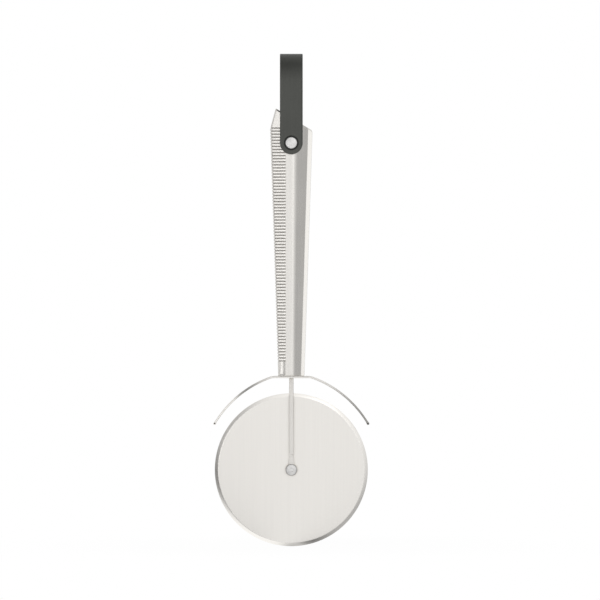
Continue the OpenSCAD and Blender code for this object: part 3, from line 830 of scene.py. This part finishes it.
def makeStrap():
    # rows run from the front end's tip over the fold to the back end's tip; in each, the columns go round
    # the band: flat outside, round rim, flat inside. In a round end a row turns about the pin by its angle:
    # x = (half - inset) cos a, z = pin - (half - inset) sin a. The rubber gets painted shade, in the stretch
    # mark, over the fold below its crown, on the right-hand rim and in the recess
    depth, edge = strap["thick"] / 2, strap["edge"]
    quarter = np.radians(np.linspace(0, 90, 6))
    across = strapHalf - edge
    outside = strapHalf - across * np.array([0, 0.25, 0.5, 0.75, 0.87, 0.96])
    rimInset, rimLevel = edge * (1 - np.sin(quarter)), depth - edge * (1 - np.cos(quarter))
    inset = np.concatenate([outside, rimInset, rimInset[::-1], outside[::-1]])
    level = np.concatenate([0 * outside + depth, rimLevel, -rimLevel[::-1], 0 * outside - depth])
    inset = np.concatenate([inset, inset[-2:0:-1]])
    level = np.concatenate([level, level[-2:0:-1]])
    side = np.where(np.arange(len(inset)) < len(level) // 2 + 1, 1, -1)
    middle, normal = strapMiddle()
    turn = np.radians(np.linspace(90, 0, 16))
    strand = np.linspace(pinZ, middle[0, 1], 12)[1:-1]
    y = middle[0, 0]
    below = np.stack([np.full(len(turn) + len(strand), y), np.append(np.full(len(turn), pinZ), strand)], -1)
    back = np.concatenate([below, middle])
    backNormal = np.concatenate([np.tile([1.0, 0.0], (len(below), 1)), normal])
    backTurn = np.concatenate([turn, np.zeros(len(back) - len(turn))])
    line = np.concatenate([back * [-1, 1], back[-2::-1]])
    out = np.concatenate([backNormal * [-1, 1], backNormal[-2::-1]])
    angle = np.concatenate([backTurn, backTurn[-2::-1]])[:, None]
    radius = strapHalf - inset
    x = side * radius * np.cos(angle)
    z = line[:, 1:] + level * out[:, 1:] - radius * np.sin(angle)
    piece = makeObject("strapLoop", np.stack([x, line[:, :1] + level * out[:, :1], z], -1))
    combine(piece, [strapCutter("frontCutter", -1), strapCutter("backCutter", 1)])
    x, y, z = pointsOf(piece)
    edges = [strapHigh[2] - strap["foldHeight"], strapHigh[2], strapHalf]
    fades = [strap["foldFade"], strap["crownFade"], strap["rimFade"]]
    up, crown, right = (smooth((place - edge + under) / long)
                        for place, edge, (under, long) in zip((z, z, x), edges, fades))
    inRecess = (np.hypot(x, z - pinZ) < strap["recess"] + 0.05) & (abs(y) < strapHigh[1] - 0.3)
    # painted shade over the fold, on the right-hand rim and in the recess
    fold, rim = strap["foldShade"] * up * (1 - crown), strap["rimShade"] * right
    markPoints(piece, "stretch", np.maximum(np.maximum(fold, rim), strap["recessShade"] * inRecess))
    return piece


def strapCutter(name, side):
    # what the recess and the pin's hole take away, with the recess's mouth eased outwards
    outer, inner = strapHigh[1], strapHigh[1] - strap["thick"]
    floor, soft, recess = outer - strap["recessDepth"], strap["recessSoft"], strap["recess"]
    profile = softLine([
        (0, outer + 1), (recess + soft + 1, outer + 1), (recess + soft, outer), (recess, outer - soft),
        (recess, floor), (strap["hole"], floor), (strap["hole"], inner - 1), (0, inner - 1)], 0.1)
    return makeObject(name, lathe(profile * [1, side], 96, pinZ))


rubber = strapRubber("rubber", strap["rubber"])
finishPiece(makeStrap(), rubber, "loop", "hang_loop")


# small CAD pieces that keep their own meshes

small = {
    "bush": {"fine": (2600, 260, 2600), "dark": (0.55, 0.4, 0.16, 1), "light": (0.7, 0.53, 0.25, 1),
             "rough": 0.28, "bump": 0.2},
    "insert": {"fine": (260, 260, 2600), "dark": (0.6, 0.42, 0.15, 1), "light": (0.74, 0.55, 0.24, 1),
               "rough": 0.28, "bump": 0.2},
    "washer": {"dark": (0.68, 0.68, 0.66, 1), "light": (0.78, 0.78, 0.76, 1), "rough": 0.42, "bump": 0.15},
}
washerWhite = washerPlastic("washerWhite", small["washer"])
nodeFinishes = {
    "wheel_bush": brass("bushBrass", small["bush"]),
    "threaded_insert": brass("insertBrass", small["insert"]),
    "front_washer": washerWhite,
    "back_washer": washerWhite,
}
for node, material in nodeFinishes.items():
    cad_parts[node].material_slots[0].material = material
print("small pieces finished")


# studio: pale floor, white surroundings with soft grey cards in them, soft lamps and the camera;
# a turn is an angle to the right of straight in front, a lift one upwards, both seen from the object

studio = {
    "ambient": 0.68, "overhead": -0.2,
    "cards": [  # turn, lift, half width, half height and darkness
        (46, -2, 20, 20, 0.49),
        (60, -38, 34, 34, 0.85),
        (0, -90, 30, 30, 0.45),
        (-31, -5, 13, 17, 0.9),
        (-24, 17, 12, 12, 0.6),
        (80, 36, 16, 16, 0.6),
        (-75, 38, 26, 22, 0.4),
        (0, 57, 50, 18, 0.95),
        (-92, 0, 12, 26, 0.25),
        (-99, 24, 13, 13, 0.22),
        (138, 0, 18, 28, 0.55),
        (-140, 0, 14, 30, 0.5),
    ],
    "eye": 12, "floorRadius": 0.8, "floorLevel": 0.92, "floorLift": 0.04,
    "shadeReach": (0.04, 0.25), "shadeShare": 0.1, "lampAway": 1800,
    "lamps": {  # turn, lift, width, height, level and whether only reflections show it
        "frontLamp": (-20, 6, 1300, 1100, 2.4, False),
        "keyLamp": (11, 12, 360, 700, 0.55, True),
        "leftLamp": (-17, 0, 320, 560, 1.2, True),
        "sideLamp": (86, 2, 1000, 1500, 0.4, True),
    },
    "frameWidth": 352.9, "centreX": 5.1, "centreZ": 144.8, "lens": 400,
}


def heading(turn, lift):
    # direction from the object at a turn and a lift
    return math.sin(turn) * math.cos(lift), -math.cos(turn) * math.cos(lift), math.sin(lift)


def cardShade(shader, direction):
    # product of 1 less a dip for each grey card: on the card's own side, its darkness times the cosine of
    # the angle to its middle times exp(-(across^2 + up^2)), counted in its half width and half height
    shade = 1
    for *angles, dark in studio["cards"]:
        turn, lift, halfWide, halfHigh = (math.radians(angle) for angle in angles)
        wide, high = math.sin(halfWide), math.sin(halfHigh)
        rightwards = (math.cos(turn) / wide, math.sin(turn) / wide, 0)
        upwards = (-math.sin(turn) * math.sin(lift) / high, math.cos(turn) * math.sin(lift) / high,
                   math.cos(lift) / high)
        axes = (heading(turn, lift), rightwards, upwards)
        facing, across, up = (shader.vector("DOT_PRODUCT", direction, axis) for axis in axes)
        bell = across.maths("EXPONENT", 0 - (across * across + up * up))
        shade = shade * (1 - facing.maths("MAXIMUM", facing, 0) * bell * dark)
    return shade


def backdrop(shader, direction):
    # 1 for the camera's rays and for those that metal reflects or glass lets through, and the level that
    # these rays see: 1, less the cards' dips in reflections
    path = shader.node("LightPath", output="Is Camera Ray")
    outputs = path.socket.node.outputs
    glossy, clear = (Wire(shader, outputs[name]) for name in ("Is Glossy Ray", "Is Transmission Ray"))
    seen = path.maths("MINIMUM", path + glossy + clear, 1)
    return seen, 1 - glossy * (1 - cardShade(shader, direction))


def makeWorld():
    # the strength is the backdrop's for the rays that see it, and for all other light the ambient
    # level, which changes a little with height
    world = bpy.data.worlds.new("studio")
    bpy.context.scene.world = world
    world.use_nodes = True
    shader = Shader(world.node_tree)
    direction = shader.node("TexCoord", output="Generated")
    height = shader.vector("DOT_PRODUCT", direction, (0, 0, 1))
    seen, level = backdrop(shader, direction)
    strength = seen * level + (1 - seen) * (studio["ambient"] + height * studio["overhead"])
    background = shader.node("Background", {}, {"Color": (1, 1, 1, 1), "Strength": strength})
    shader.node("OutputWorld", {}, {"Surface": background})


def makeFloor():
    # a pale round sheet that keeps the object's soft shadow near it and turns plain white further off:
    # a share of paper in it, a little lifted to match, fades out with the distance. In reflections it
    # carries on the cards as they are seen from the eye's height over its middle
    t = np.linspace(0, 2 * np.pi, 96, endpoint=False)
    ring = np.stack([np.cos(t), np.sin(t), 0 * t], -1) * studio["floorRadius"] / mm
    floor = makeObject("floor", ring, [list(range(len(t)))])

    def build(shader, place):
        away = shader.vector("LENGTH", place)
        near = 1 - shader.spread(away, *studio["shadeReach"])
        grain = shader.noise(place, (300, 300, 300), 2)
        colour = shader.mix(grain, grey(studio["floorLevel"]), grey(studio["floorLevel"] + 0.03))
        plain = shader.node("BsdfDiffuse", {}, {"Color": colour})
        fromEye = shader.vector("SUBTRACT", place, (0, 0, studio["eye"] * mm))
        direction = shader.vector("NORMALIZE", fromEye)
        seen, level = backdrop(shader, direction)
        strength = level * (1 + near * studio["floorLift"])
        white = shader.node("Emission", {}, {"Color": (1, 1, 1, 1), "Strength": strength})
        share = seen * (1 - near * studio["shadeShare"])
        return shader.node("MixShader", {}, {0: share, 1: plain, 2: white})

    floor.data.materials.append(newFinish("floorPaper", build))


def makeLamps():
    # flat soft boxes that face the frame's middle height: one lights the surfaces, the others only show
    # in reflections; a lamp's power is its level times pi times its area
    target = np.array([0, 0, studio["centreZ"]])
    for name, (turn, lift, wide, high, level, shine) in studio["lamps"].items():
        light = bpy.data.lights.new(name, "AREA")
        light.shape = "RECTANGLE"
        light.size, light.size_y = wide * mm, high * mm
        light.energy = level * math.pi * light.size * light.size_y
        holder = addObject(name, light)
        holder.visible_glossy, holder.visible_diffuse = shine, not shine
        turn, lift = math.radians(turn), math.radians(lift)
        holder.location = (target + studio["lampAway"] * np.array(heading(turn, lift))) * mm
        holder.rotation_euler = (math.pi / 2 - lift, 0, turn)


def makeCamera():
    # a long lens straight in front, so far away that the frame's width is right at the object's middle
    lens = bpy.data.cameras.new("camera")
    lens.lens = studio["lens"]
    holder = addObject("camera", lens)
    distance = studio["frameWidth"] / lens.sensor_width * studio["lens"]
    holder.location = (studio["centreX"] * mm, -distance * mm, studio["centreZ"] * mm)
    holder.rotation_euler = (math.pi / 2, 0, 0)
    bpy.context.scene.camera = holder


makeWorld()
makeFloor()
makeLamps()
makeCamera()
bpy.context.scene.view_settings.view_transform = "Standard"
print("studio ready")
